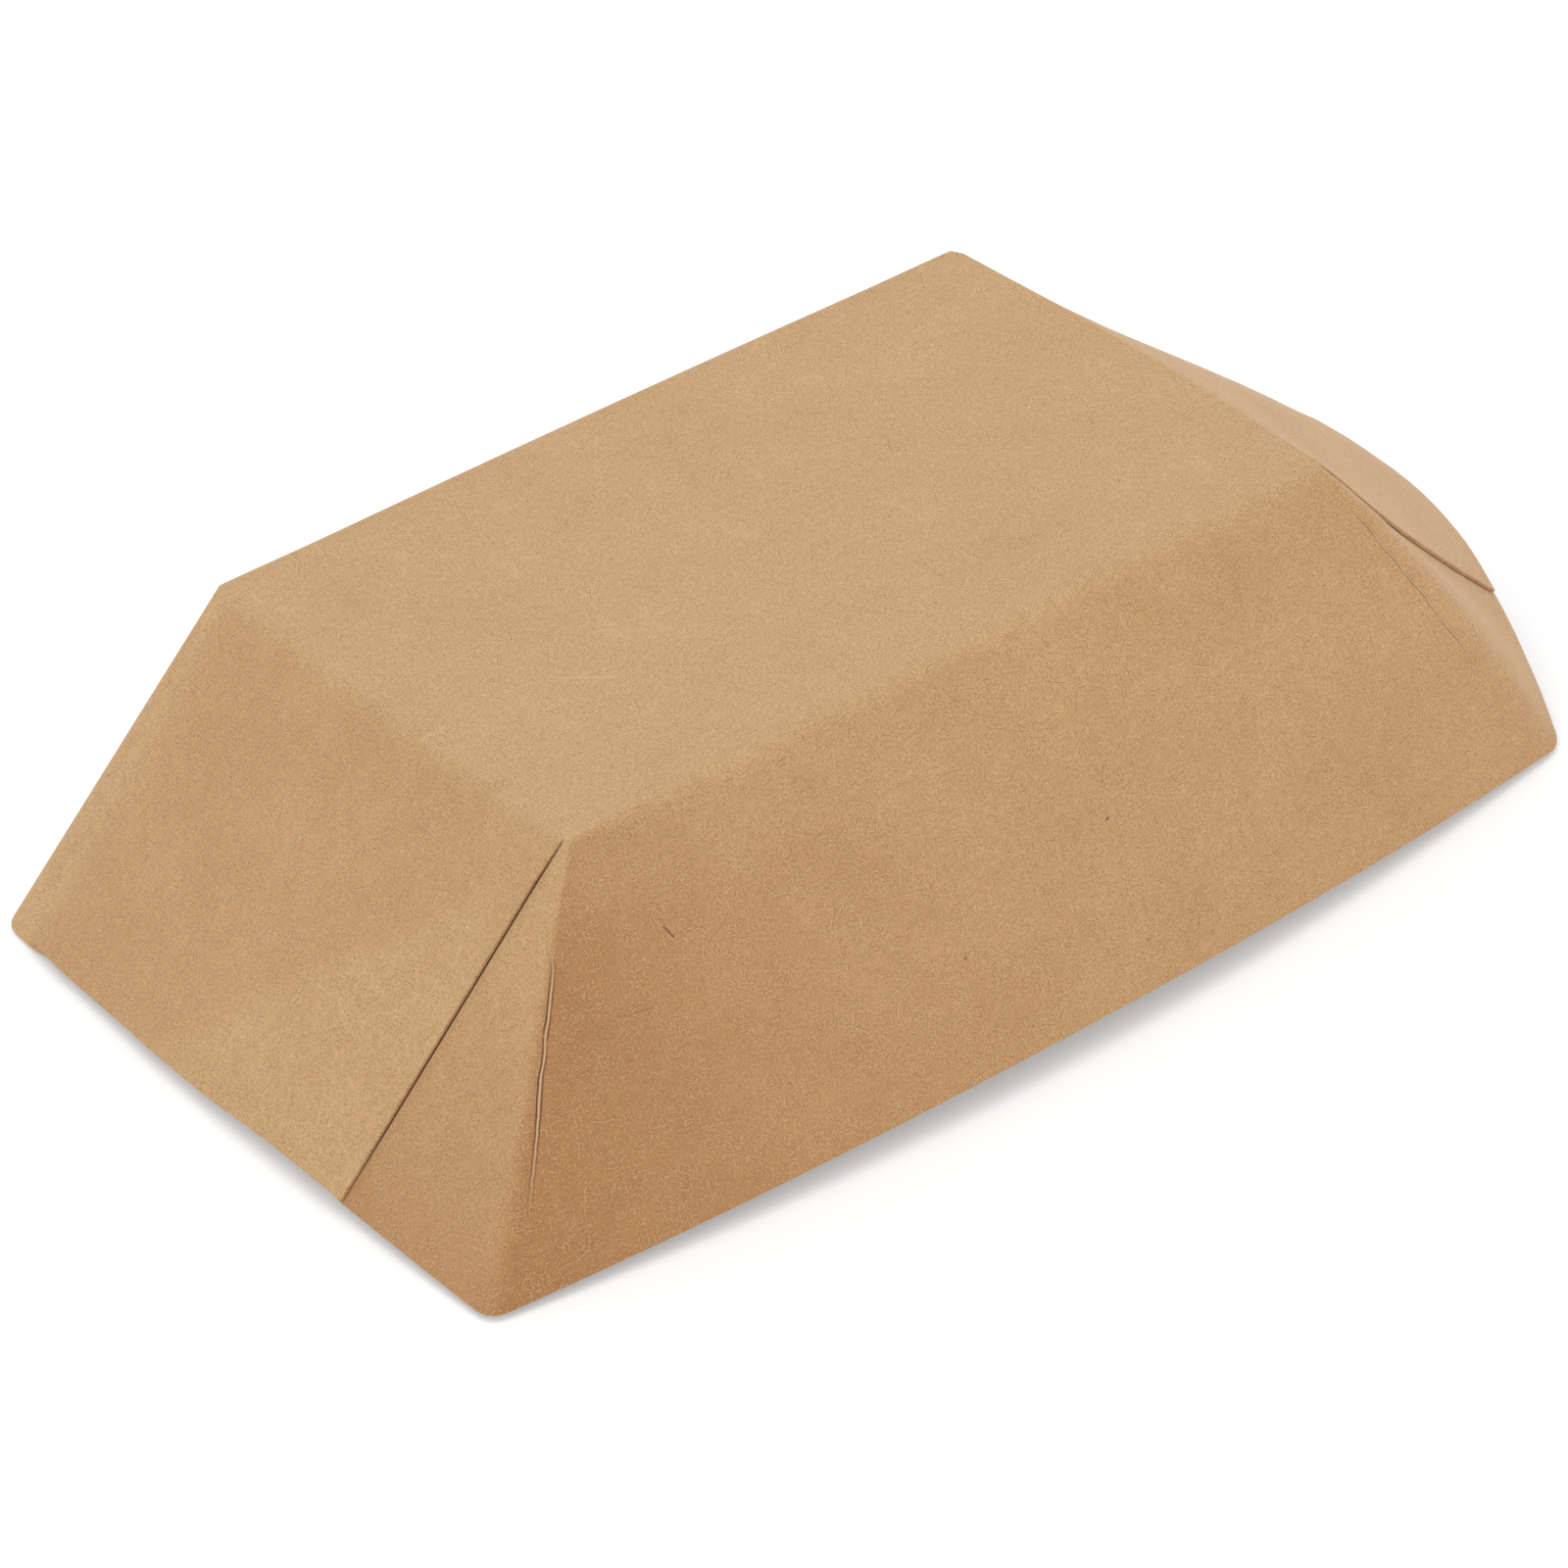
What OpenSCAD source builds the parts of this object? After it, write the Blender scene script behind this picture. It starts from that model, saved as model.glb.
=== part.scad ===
/* [Base panel] */
// Length of the base panel between its end folds
base_l = 110; // [80:0.5:180]
// Width of the base panel between its side folds
base_w = 69.2; // [50:0.2:120]
// Radius of the base panel's corners, seen from above
base_corner_r = 0.8; // [0.8:0.1:3]
// How far each base fold bows outwards at its middle
fold_bow = 0.6; // [0.2:0.1:3]

/* [Walls] */
// Height of the base panel above the rim's corners
tray_h = 44.2; // [34:0.2:70]
// How far the left end wall leans out at its rim corners
left_spread = 26.2; // [10:0.1:40]
// How far the right end wall leans out at its rim corners
right_spread = 24.2; // [10:0.1:40]
// How far the near side wall leans out at its rim corners
near_spread = 14.8; // [6:0.1:30]
// How far the far side wall leans out at its rim corners
far_spread = 16.2; // [6:0.1:30]
// How far each side wall's rim bows out at its middle
side_bow = 6.8; // [0.5:0.1:9]
// How far the left end wall's rim bows out at its middle
left_bow = 1.2; // [0.2:0.1:8]
// How far the right end wall's rim flares out and up at its middle
right_flare = 14.8; // [1:0.1:17]

/* [Swell of the flared end] */
// How far the flared end swells out at its corner creases, between fold and rim
crease_swell = 1.6; // [0:0.1:3]
// How far the flared end dips in at its near seam, between fold and rim
seam_dip = 0.9; // [0:0.1:2]
// How far the flared end swells out at its middle, between fold and rim
middle_swell = 1.5; // [0:0.1:3]

/* [Board and folds] */
// Thickness of the paperboard
board_t = 0.4; // [0.25:0.05:0.7]
// Outer radius of the base folds at their middles
fold_r = 2.2; // [1:0.1:3]
// Outer radius of the base folds at the corners
fold_end_r = 0.8; // [0.6:0.1:1.2]
// Length over which a base fold opens from its corner radius
fold_ease = 16; // [6:1:30]
// Radius of the rim's corners, seen from above
rim_corner_r = 2; // [1.5:0.1:4]
// Radius of the rim's near left corner, which is rounder
soft_corner_r = 2.4; // [1.5:0.1:8]

/* [Glued corners] */
// Bare width of the near tab at the left end, along the rim
near_left_show = 27; // [12:0.5:34]
// Bare width of the near tab at the right end, along the rim
near_right_show = 21.7; // [12:0.1:34]
// Bare width of the far tabs, along the rim
far_show = 6; // [5:0.5:12]
// Width of a near tab that is glued under the end wall, at the rim
near_lap = 30; // [10:0.5:34]
// Width of a far tab that is glued under the end wall, at the rim
far_lap = 12; // [6:0.5:16]
// How far a near tab's rim reaches past the end wall's rim at the seam
near_proud = 0.1; // [0.1:0.05:0.8]
// How far a far tab's rim reaches past the end wall's rim at the seam
far_proud = 0.8; // [0.1:0.05:1.2]

/* [Smoothness] */
// Number of strips along a side wall
side_strips = 16; // [8:1:24]
// Number of strips along an end wall's lap or single layer
panel_strips = 5; // [3:1:8]
// Number of strips round a rim corner
corner_strips = 6; // [3:1:10]
// Number of strips across a bare tab
tab_strips = 4; // [2:1:8]
// Number of rows round a base fold
fold_rows = 4; // [2:1:8]
// Number of rows down a wall
wall_rows = 6; // [4:1:12]

/* [Hidden] */

// Corners of the base panel, measured from its centre
base_x = base_l / 2;
base_y = base_w / 2;
// Corners of the rim, measured from the same centre
rim_left = base_x + left_spread;
rim_right = base_x + right_spread;
rim_near = base_y + near_spread;
rim_far = base_y + far_spread;
// Slant of a cut edge, across the board's thickness
cut_slant = board_t / 4;
// Room between the strips that fan out from a base corner
fan_step = 0.15;
// Share of the wall's height where the straight wall starts below its fold
wall_start = 0.08;
// Smallest inner radius of a fold
inner_fold_r = board_t / 8;

function lerp(a, b, t) = a + (b - a) * t;
function hump(t) = 4 * t * (1 - t);
function ease(t) = let (c = min(max(t, 0), 1)) c * c * (3 - 2 * c);
function unit(v) = v / norm(v);

// The left end and the near side are -1, the right end and the far side are 1
function rim_end(sx) = sx < 0 ? rim_left : rim_right;
function rim_side(sy) = sy < 0 ? rim_near : rim_far;
function corner_r(sx, sy) = sx < 0 && sy < 0 ? soft_corner_r : rim_corner_r;

// Height of a rim point that leans out by run, above the rim's corners, which lean out by spread:
// the flat board keeps its slant length however it bends
function rim_lift(spread, run) = tray_h - sqrt(pow(tray_h, 2) + pow(spread, 2) - pow(run, 2));

// Points of an end wall's fold and rim at their places along y
function end_fold(sx, y) =
    [sx * (base_x + fold_bow * hump((y + base_y) / base_w)), y, tray_h];
function end_rim(sx, y) =
    let (
        spread = sx < 0 ? left_spread : right_spread,
        bow = sx < 0 ? left_bow : right_flare,
        run = spread + bow * hump((y + rim_near) / (rim_near + rim_far))
    )
    [sx * (base_x + run), y, rim_lift(spread, run)];

// Points of a side wall's fold and rim at their places along x
function side_fold(sy, x) =
    [x, sy * (base_y + fold_bow * hump((x + base_x) / base_l)), tray_h];
function side_rim(sy, x) =
    let (
        spread = sy < 0 ? near_spread : far_spread,
        run = spread + side_bow * hump((x + rim_left) / (rim_left + rim_right))
    )
    [x, sy * (base_y + run), rim_lift(spread, run)];

// A station is one line down a wall:
// [fold point, rim point, outer layer, inner layer, tab proud, fold radius, swell]
// The layers are counted in board thicknesses out from the side wall's own face.
function station(fold, rim, outer, inner, proud, corner_gap, swell) =
    [fold, rim, outer, inner, proud,
     lerp(fold_end_r, fold_r, ease(corner_gap / fold_ease)), swell];

// Stations of a side wall, from its left to its right corner
function side_wall(sy) =
    [for (i = [0:side_strips])
        let (
            t = i / side_strips,
            fx = lerp(-base_x + base_corner_r, base_x - base_corner_r, t),
            rx = lerp(-rim_left + corner_r(-1, sy), rim_right - corner_r(1, sy), t),
            gap = base_x - abs(fx),
            swell = sy < 0 ? crease_swell * pow(t, 3) : 0
        )
        station(side_fold(sy, fx), side_rim(sy, rx), 0, -1, 0, gap, swell)];

// Stations round a corner, from the side wall to the tab
function corner_turn(sx, sy) =
    [for (i = [1:corner_strips - 1])
        let (
            a = 90 * i / corner_strips,
            turn = [sx * sin(a), sy * cos(a), 0],
            r = corner_r(sx, sy),
            fold_c = [sx * (base_x - base_corner_r), sy * (base_y - base_corner_r), tray_h],
            rim_c = [sx * (rim_end(sx) - r), sy * (rim_side(sy) - r), 0],
            swell = sx > 0 && sy < 0 ? crease_swell : 0
        )
        station(fold_c + base_corner_r * turn, rim_c + r * turn, 0, -1, 0, 0, swell)];

// Places along an end wall at its near or far corner, as [fold y, rim y]:
// where the bare tab starts, where the seam is and where the hidden tab ends
function tab_start(sx, sy) = sy * [base_y - base_corner_r, rim_side(sy) - corner_r(sx, sy)];
function seam(sx, sy) =
    let (show = sy > 0 ? far_show : sx < 0 ? near_left_show : near_right_show)
    sy * [base_y - base_corner_r - fan_step * tab_strips, rim_side(sy) - show];
function tab_end(sx, sy) =
    let (lap = sy < 0 ? near_lap : far_lap)
    seam(sx, sy) - sy * lap * [base_w / (rim_near + rim_far), 1];

// Swell of an end wall at a place along its rim: only the flared end has any,
// out at the near crease, in at the near seam, out at the middle and none at the far seam
function end_swell(sx, y) =
    let (
        crease_y = tab_start(sx, -1)[1],
        seam_y = seam(sx, -1)[1],
        far_y = seam(sx, 1)[1]
    )
    sx < 0 ? 0
    : y < seam_y ? lerp(crease_swell, -seam_dip, ease((y - crease_y) / (seam_y - crease_y)))
    : y < 0 ? lerp(middle_swell, -seam_dip, ease(y / seam_y))
    : lerp(middle_swell, 0, ease(y / far_y));

// Stations from one place to another along an end wall
function end_run(sx, from, to, strips, outer, inner, proud_from, proud_to) =
    [for (i = [0:strips])
        let (
            t = i / strips,
            at = lerp(from, to, t),
            gap = base_y - abs(at[0])
        )
        station(end_fold(sx, at[0]), end_rim(sx, at[1]), outer, inner,
                lerp(proud_from, proud_to, t), gap, end_swell(sx, at[1]))];

// Stations of a whole end wall, from the near corner to the far one:
// bare tab, lap over the tab, single layer, lap and bare tab again
function end_wall(sx) =
    let (
        cut = [cut_slant, cut_slant],
        least = board_t / 8
    )
    concat(
        end_run(sx, tab_start(sx, -1), seam(sx, -1), tab_strips, 0, -1, 0, 0),
        end_run(sx, seam(sx, -1) + cut, tab_end(sx, -1), panel_strips, 1, -1, near_proud, least),
        end_run(sx, tab_end(sx, -1) + cut, tab_end(sx, 1) - cut, panel_strips, 1, 0, 0, 0),
        end_run(sx, tab_end(sx, 1), seam(sx, 1) - cut, panel_strips, 1, -1, least, far_proud),
        end_run(sx, seam(sx, 1), tab_start(sx, 1), tab_strips, 0, -1, 0, 0)
    );

function reversed(list) = [for (i = [len(list) - 1:-1:0]) list[i]];

// All stations once round the tray, anticlockwise from above
stations = concat(
    side_wall(-1),
    corner_turn(1, -1),
    end_wall(1),
    reversed(corner_turn(1, 1)),
    reversed(side_wall(1)),
    corner_turn(-1, 1),
    reversed(end_wall(-1)),
    reversed(corner_turn(-1, -1))
);
count = len(stations);

// Outward normal of the wall at a station, square to its line and to the rim beside it
function wall_normal(i) =
    let (
        before = stations[(i + count - 1) % count],
        after = stations[(i + 1) % count],
        along = after[1] - before[1],
        down = stations[i][1] - stations[i][0]
    )
    unit(cross(down, along));

// Points of one layer's face at a station, from the base panel over the fold to the rim
function face_points(i, layer, radius, panel_z, extra) =
    let (
        s = stations[i],
        n = wall_normal(i),
        out = unit([n[0], n[1], 0]),
        slope = acos(n[2]),
        drop = norm(s[1] - s[0]),
        top_slope = slope - atan(4 * s[6] / drop),
        off = layer * board_t,
        below = tray_h - panel_z,
        corner = s[0] + out * (off / sin(top_slope) + below / tan(top_slope)) - [0, 0, below],
        tangent = radius * tan(top_slope / 2),
        centre = corner - out * tangent - [0, 0, radius]
    )
    concat(
        [for (j = [0:fold_rows])
            let (a = top_slope * j / fold_rows)
            centre + radius * (sin(a) * out + [0, 0, cos(a)])],
        [for (j = [0:wall_rows])
            let (v = lerp(wall_start, 1, j / wall_rows))
            lerp(s[0], s[1], v) + n * (off + s[6] * hump(v))
                - (j == wall_rows ? extra * unit(s[0] - s[1]) : [0, 0, 0])]
    );

// The closed loop of points round the board's section at a station:
// outer face down, across the rim with the step between the layers, inner face up
function section(i) =
    let (
        s = stations[i],
        outer = face_points(i, s[2], s[5], tray_h, 0),
        inner = face_points(i, s[3], max(s[5] - board_t, inner_fold_r), tray_h - board_t, s[4]),
        foot = outer[len(outer) - 1],
        toe = inner[len(inner) - 1],
        lapped = s[4] > 0,
        down = unit(s[1] - s[0]),
        middle = lerp(foot, toe - s[4] * down, 0.5),
        step_out = lapped ? middle : lerp(foot, toe, 1 / 3),
        step_in = lapped ? middle + s[4] * down : lerp(foot, toe, 2 / 3)
    )
    concat(outer, [step_out, step_in], reversed(inner));

sections = [for (i = [0:count - 1]) section(i)];
rows = len(sections[0]);

// The sheet stands on its rim with its box centred over the origin
all_x = [for (s = sections, p = s) p[0]];
all_y = [for (s = sections, p = s) p[1]];
all_z = [for (s = sections, p = s) p[2]];
stand = [-(min(all_x) + max(all_x)) / 2, -(min(all_y) + max(all_y)) / 2, -min(all_z)];

module tray() {
    points = concat(
        [for (s = sections, p = s) p],
        [[0, 0, tray_h], [0, 0, tray_h - board_t]]
    );
    outer_middle = count * rows;
    inner_middle = outer_middle + 1;
    walls = [for (i = [0:count - 1], j = [0:rows - 2])
        let (
            k = (i + 1) % count,
            a = i * rows + j,
            b = k * rows + j
        )
        each [[a, b, b + 1], [a, b + 1, a + 1]]];
    panel_top = [for (i = [0:count - 1])
        [outer_middle, ((i + 1) % count) * rows, i * rows]];
    panel_under = [for (i = [0:count - 1])
        [inner_middle, i * rows + rows - 1, ((i + 1) % count) * rows + rows - 1]];
    color([0.76, 0.62, 0.46])
        translate(stand)
            polyhedron(points = points, faces = concat(walls, panel_top, panel_under));
}

tray();
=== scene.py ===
import math
import bmesh
import bpy
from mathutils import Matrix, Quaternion, Vector


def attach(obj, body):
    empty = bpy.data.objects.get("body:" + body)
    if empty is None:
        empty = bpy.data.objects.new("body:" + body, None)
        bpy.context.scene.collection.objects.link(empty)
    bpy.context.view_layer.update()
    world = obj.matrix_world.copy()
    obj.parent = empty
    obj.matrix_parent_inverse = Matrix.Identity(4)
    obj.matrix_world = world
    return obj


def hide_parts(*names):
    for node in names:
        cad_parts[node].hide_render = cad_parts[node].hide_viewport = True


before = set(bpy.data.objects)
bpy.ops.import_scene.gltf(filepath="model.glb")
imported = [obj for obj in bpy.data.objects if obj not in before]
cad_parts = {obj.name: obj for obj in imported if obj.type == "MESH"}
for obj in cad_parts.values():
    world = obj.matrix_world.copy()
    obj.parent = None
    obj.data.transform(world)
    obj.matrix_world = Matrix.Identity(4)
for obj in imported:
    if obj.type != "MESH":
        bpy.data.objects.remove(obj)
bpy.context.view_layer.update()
print("frame loaded")

mm = 0.001

# camera: where it stands, which way it looks and how it is tilted, as in the photograph
cameraLook = {
    "place": (-362.22, -501.52, 442.17),  # mm
    "azimuth": -35.349,
    "elevation": 35.240,
    "roll": 4.361,
    "lens": 143.65,
}


def makeCamera(look):
    data = bpy.data.cameras.new("photoCamera")
    data.lens = look["lens"]
    data.sensor_width = 36.0
    data.clip_start = 0.05
    data.clip_end = 20.0
    camera = bpy.data.objects.new("photoCamera", data)
    bpy.context.scene.collection.objects.link(camera)
    a = math.radians(look["azimuth"])
    e = math.radians(look["elevation"])
    back = Vector((math.sin(a) * math.cos(e), -math.cos(a) * math.cos(e), math.sin(e)))
    camera.location = Vector(look["place"]) * mm
    camera.rotation_mode = "QUATERNION"
    roll = Quaternion((0, 0, 1), -math.radians(look["roll"]))
    camera.rotation_quaternion = (-back).to_track_quat("-Z", "Y") @ roll
    bpy.context.scene.camera = camera


makeCamera(cameraLook)
print("camera made")

# the sheet's sizes in mm: the solid's own, then the small forms that only the scene has
traySheet = {
    "baseLength": 110.0,
    "baseWidth": 69.2,
    "height": 44.2,
    "leftLean": 26.2,
    "rightLean": 24.3,
    "nearLean": 14.8,
    "farLean": 16.2,
    "sideBow": 6.8,
    "leftBow": 1.5,
    "rightFlare": 14.6,
    "foldBow": 0.6,
    "creaseSwell": 1.6,
    "seamDip": 0.9,
    "middleSwell": 1.6,
    "farSwell": 1.3,
    "board": 0.4,
    "foldRadius": {"near": 3.2, "left": 3.2, "far": 1.8, "right": 1.8},
    "foldEndRadius": 0.8,
    "foldEase": 16.0,
    "baseCorner": 0.6,
    "fanLength": 0.35,
    "rimCorner": {("left", "near"): 2.4, ("left", "far"): 3.2,
                  ("right", "near"): 2.9, ("right", "far"): 2.0},
    "nearLeftTab": 27.0,
    "nearRightTab": 21.7,
    "farTab": 6.0,
    "nearLap": 38.0,
    "nearLapTop": 1.0,
    "farLap": 7.0,
    "farLapTop": 3.5,
    "lapBlend": 6.0,
    "glueGap": 0.1,
    "lapStart": 0.9,
    "lapRelax": 0.25,
    "lapRelaxStart": 0.2,
    "nearShort": {"left": 0.65, "right": 0.85},
    "nearShortHold": {"left": 12.0, "right": 0.0},
    "nearShortRun": {"left": 18.0, "right": 9.0},
    "farShort": 0.5,
    "farShortRun": 12.0,
    "farProud": 0.5,
    "farTuck": 0.3,
    "tabShort": 0.2,
    "cornerDroop": 0.8,
    "cornerDroopReach": 1.5,
    "tabStart": 0.035,
    "tabArcShare": 0.9,
    "tabStepRun": 1.5,
    "tabHide": 0.05,
    "farTuckStart": 0.5,
    "farTuckRun": 6.5,
    "stand": (-5.7515, -0.7, 0.7146),
    "sideColumns": 48,
    "endColumns": 36,
    "cornerColumns": 10,
    "tabColumns": 10,
    "lapColumns": 12,
    "arcRows": 7,
    "wallRows": 26,
    "wallStart": 0.085,
    "smoothAngle": 40.0,
}
s = traySheet
blankRoom = 240.0  # mm of flat board across the UV square
halfLength = s["baseLength"] / 2
halfWidth = s["baseWidth"] / 2
rimOut = {
    "left": halfLength + s["leftLean"],
    "right": halfLength + s["rightLean"],
    "near": halfWidth + s["nearLean"],
    "far": halfWidth + s["farLean"],
}
lean = {"left": s["leftLean"], "right": s["rightLean"], "near": s["nearLean"], "far": s["farLean"]}
sign = {"left": -1, "right": 1, "near": -1, "far": 1}


def hump(t):
    return 4 * t * (1 - t)


def ease(t):
    c = min(max(t, 0.0), 1.0)
    return c * c * (3 - 2 * c)


def lerp(a, b, t):
    return a + (b - a) * t


def clustered(i, n):  # places along an edge, closer together at its ends
    return (1 - math.cos(math.pi * i / n)) / 2


def rimLift(spread, run):  # the flat board keeps its slant length however it bends
    return s["height"] - math.sqrt(s["height"] ** 2 + spread ** 2 - run ** 2)


def cornerRadius(end, side):
    return s["rimCorner"][end, side]


def tabShow(end, side):
    if side == "far":
        return s["farTab"]
    return s["nearLeftTab"] if end == "left" else s["nearRightTab"]


def sideFold(side, x):
    out = halfWidth + s["foldBow"] * hump((x + halfLength) / s["baseLength"])
    return Vector((x, sign[side] * out, s["height"]))


def sideRim(side, x):
    run = lean[side] + s["sideBow"] * hump((x + rimOut["left"]) / (rimOut["left"] + rimOut["right"]))
    return Vector((x, sign[side] * (halfWidth + run), rimLift(lean[side], run)))


def endFold(end, y):
    out = halfLength + s["foldBow"] * hump((y + halfWidth) / s["baseWidth"])
    return Vector((sign[end] * out, y, s["height"]))


def endRim(end, y):
    bow = s["leftBow"] if end == "left" else s["rightFlare"]
    run = lean[end] + bow * hump((y + rimOut["near"]) / (rimOut["near"] + rimOut["far"]))
    return Vector((sign[end] * (halfLength + run), y, rimLift(lean[end], run)))


def seamY(end, side):  # where the end wall's cut edge crosses the rim
    return sign[side] * (rimOut[side] - tabShow(end, side))


def endSwell(end, y):  # how far the flared end bulges between its fold and its rim
    if end == "left":
        return 0.0
    creaseY = -(rimOut["near"] - cornerRadius(end, "near"))
    nearY = seamY(end, "near")
    farY = seamY(end, "far")
    if y < nearY:
        return lerp(s["creaseSwell"], -s["seamDip"], ease((y - creaseY) / (nearY - creaseY)))
    if y < 0:
        return lerp(s["middleSwell"], -s["seamDip"], ease(y / nearY))
    return lerp(s["middleSwell"], s["farSwell"], ease(y / farY))


# a line down an end wall: t runs from the near cut edge to the far one
def endLine(end, t):
    cutY = halfWidth - s["baseCorner"] - s["fanLength"]
    foldY = lerp(-cutY, cutY, t)
    rimY = lerp(seamY(end, "near"), seamY(end, "far"), t)
    return endFold(end, foldY), endRim(end, rimY), endSwell(end, rimY)


def endNormal(end, t):
    fold, rim, swell = endLine(end, t)
    along = endLine(end, t + 0.01)[1] - endLine(end, t - 0.01)[1]
    n = (rim - fold).cross(along).normalized()
    return n if n.z > 0 else -n


def nearCut(end, distance):  # how far an end wall's rim is cut back, by distance from its near cut edge
    past = (distance - s["nearShortHold"][end]) / s["nearShortRun"][end]
    return s["nearShort"][end] * (1 - ease(past))


def tabEdge(end, side, v):  # where a hidden tab ends, as a share of the end wall's width there
    cutY = halfWidth - s["baseCorner"] - s["fanLength"]
    low, high = lerp(-cutY, seamY(end, "near"), v), lerp(cutY, seamY(end, "far"), v)
    top, lap = (s["nearLapTop"], s["nearLap"]) if side == "near" else (s["farLapTop"], s["farLap"])
    return lerp(top, lap, v) / (high - low)


# one column is one line down a wall: its points, fold radius, swell and place on the flat blank
def column(wall, fold, rim, gap, swell, flatFold, flatRim, lift=None, top=None, slide=None, reach=0.0,
           tone=None):
    radius = lerp(s["foldEndRadius"], s["foldRadius"][wall], ease(gap / s["foldEase"]))
    return {"fold": fold, "rim": rim, "radius": radius, "swell": swell, "flatFold": flatFold,
            "flatRim": flatRim, "lift": lift, "top": top, "slide": slide, "reach": reach, "tone": tone}


def setNormals(columns):
    last = len(columns) - 1
    for i, c in enumerate(columns):
        before = columns[max(i - 1, 0)]["rim"]
        after = columns[min(i + 1, last)]["rim"]
        n = (c["rim"] - c["fold"]).cross(after - before).normalized()
        c["normal"] = n if n.z > 0 else -n


def pointOn(c, row):  # the sheet's outer face at a column and a row, and its place on the blank
    n = c["normal"]
    out = Vector((n.x, n.y, 0)).normalized()
    drop = (c["rim"] - c["fold"]).length
    slope = math.acos(n.z) - math.atan(4 * c["swell"] / drop)
    tangent = c["radius"] * math.tan(slope / 2)
    arcRows, wallRows = s["arcRows"], s["wallRows"]
    if row <= arcRows and c["slide"] is None:
        a = row / arcRows
        v = lerp(-tangent, tangent, a) / drop
        lift = c["lift"](max(v, 0.0)) if c["lift"] else 0.0
        edge = c["fold"] + out * (lift / math.sin(slope))
        centre = edge - out * tangent - Vector((0, 0, c["radius"]))
        point = centre + c["radius"] * (out * math.sin(a * slope) + Vector((0, 0, math.cos(a * slope))))
        if row == 0 and c["top"] is not None:
            point = c["top"].copy()
        return point, c["flatFold"].lerp(c["flatRim"], v)
    if row <= arcRows:  # a hidden tab starts a little below the fold
        v = lerp(s["tabStart"], s["wallStart"] * s["tabArcShare"], row / arcRows)
    else:
        v = lerp(s["wallStart"], 1 + c["reach"] / drop, (row - arcRows) / wallRows)
    flatPlace = c["flatFold"].lerp(c["flatRim"], v)
    if c["slide"] is not None:
        fold, rim, swell, n, shift = c["slide"](v)
        return fold.lerp(rim, v) + n * swell * hump(min(v, 1.0)), flatPlace + shift
    lift = c["lift"](v) if c["lift"] else 0.0
    point = c["fold"].lerp(c["rim"], v) + n * (lift + c["swell"] * hump(min(v, 1.0)))
    return point, flatPlace


def baseCorner(end, side):  # where base, side wall and end wall meet
    inset = s["baseCorner"]
    return Vector((sign[end] * (halfLength - inset), sign[side] * (halfWidth - inset), s["height"]))


def filletPoint(start, startWay, finish, finishWay, t):  # on a smooth curve between two edges
    u, w = startWay.normalized(), finishWay.normalized()
    gap = finish - start
    denominator = u.x * w.y - u.y * w.x
    reach = (gap.x * w.y - gap.y * w.x) / denominator
    middle = start + u * reach
    middle.z = (start.z + finish.z) / 2
    return start.lerp(middle, t).lerp(middle.lerp(finish, t), t)


def thirdPoint(a, b, fromA, fromB, way):  # the flat place at these distances from two flat places
    d = (b - a).length
    x = (fromA ** 2 - fromB ** 2 + d ** 2) / (2 * d)
    h = math.sqrt(max(fromA ** 2 - x ** 2, 0.0))
    u = (b - a) / d
    return a + u * x + Vector((-u.y, u.x)) * h * way


# painted light and shade, 0 where it is plain: painted light over the glued lap and the left near tab,
# painted sheen on the far left tab and the flared end, painted shade beside the left crease
# v runs down a wall from 0 at its fold to 1 at its rim, and reaches are in mm
paintedShadingLook = {
    "topReach": 27.0,
    "rimReach": 56.0,
    "fall": 1.5,
    "foldDark": 0.8,
    "wallDark": 2.5,
    "rimDark": 0.3,
    "darkFrom": 0.25,
    "cornerReach": 5.0,
    "cornerEnd": 0.3,
    "tabTop": 1.1,
    "tabRim": -1.4,
    "tabRun": 1.2,
    "farTab": 1.2,
    "farFlap": 1.1,
    "lapRun": 5.0,
    "lapStart": 0.25,
    "rightNear": 0.1,
    "rightFar": 1.0,
}


# painted shade on the near wall: darkest beside the left crease, deepening down the wall and towards the
# rim, with a darker painted corner just below the fold
def wallPaintedShade(fromCrease):
    def tone(v):
        reach = lerp(paintedShadingLook["topReach"], paintedShadingLook["rimReach"], v)
        near = math.exp(-(fromCrease / reach) ** paintedShadingLook["fall"])
        depth = lerp(paintedShadingLook["foldDark"], paintedShadingLook["wallDark"], ease(v / paintedShadingLook["darkFrom"]))
        corner = math.exp(-fromCrease / paintedShadingLook["cornerReach"]) * (1 - ease(v / paintedShadingLook["cornerEnd"]))
        return -near * (depth + paintedShadingLook["rimDark"] * v) - corner

    return tone


# painted light and shade round the left near corner: the wall's painted shade turns into a painted lighter
# tab, which grows darker towards its rim
def cornerPaintedShading(way):  # way runs round the corner, from the wall's crease to the tab
    wall, onTab = wallPaintedShade(0.0), ease(way * paintedShadingLook["tabRun"])
    return lambda v: lerp(wall(v), lerp(paintedShadingLook["tabTop"], paintedShadingLook["tabRim"], v), onTab)


# where each seam lies on its tab, on the flat blank: its start, its end and a place beside it
seamFlat = {}


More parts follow.
